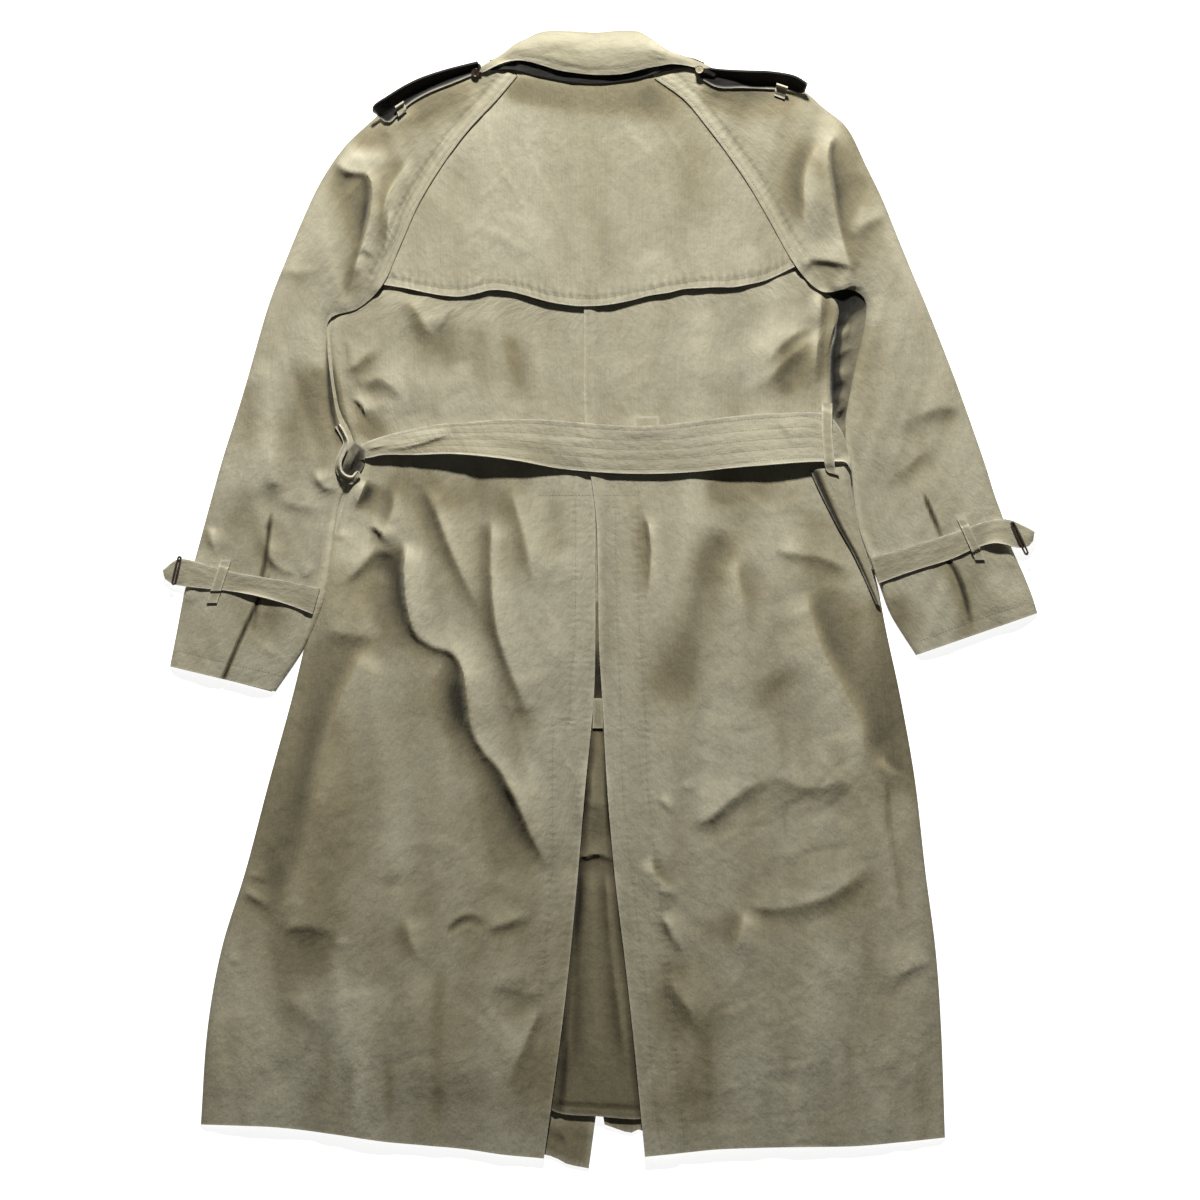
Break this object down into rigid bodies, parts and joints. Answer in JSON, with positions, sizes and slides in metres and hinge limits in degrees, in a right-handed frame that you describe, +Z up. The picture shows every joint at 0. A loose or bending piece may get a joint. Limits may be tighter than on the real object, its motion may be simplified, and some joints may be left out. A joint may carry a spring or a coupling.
{
  "type": "trench coat",
  "caption": "Long belted trench coat in khaki cotton, laid flat with its back up, with storm flap, raglan sleeves, epaulettes and an open back vent.",
  "frame": {"origin": "on the surface the coat lies on, under the middle of its outline", "axes": "+Y from the hem to the collar, +X to the wearer's right, +Z up from the surface, the coat's back facing up"},
  "size_m": [0.936, 1.2162, 0.039],
  "materials": {
    "gabardine": "closely woven khaki cotton twill with a faint two-tone sheen",
    "leather": "dark leather-covered buckle frame",
    "horn": "polished dark horn button"
  },
  "bodies": {
    "root": {"front_left": "gabardine", "front_right": "gabardine", "back_left": "gabardine", "back_right": "gabardine", "vent_gusset": "gabardine", "vent_tab": "gabardine", "side_pleat_right": "gabardine", "storm_flap": "gabardine", "sleeve_left_front": "gabardine", "sleeve_left_back": "gabardine", "sleeve_right_front": "gabardine", "sleeve_right_back": "gabardine", "collar_stand": "gabardine", "collar_fall": "gabardine", "collar_leaf_left": "gabardine", "collar_leaf_right": "gabardine", "belt_back": "gabardine", "belt_turn": "gabardine", "belt_front": "gabardine", "belt_loop_left": "gabardine", "belt_loop_right": "gabardine", "belt_loop_centre": "gabardine", "cuff_strap_left": "gabardine", "cuff_strap_right": "gabardine", "cuff_strap_under_left": "gabardine", "cuff_strap_under_right": "gabardine", "cuff_loop_left": "gabardine", "cuff_loop_right": "gabardine", "epaulette_left": "gabardine", "epaulette_right": "gabardine", "epaulette_loop_left": "gabardine", "epaulette_loop_right": "gabardine", "belt_buckle": "leather", "cuff_buckle_left": "leather", "cuff_buckle_right": "leather", "epaulette_button_left": "horn", "epaulette_button_right": "horn", "vent_button": "horn", "front_button_1": "horn", "front_button_2": "horn", "front_button_3": "horn", "front_button_4": "horn", "front_button_5": "horn", "front_button_6": "horn", "front_button_7": "horn", "front_button_8": "horn"}
  },
  "joints": []
}
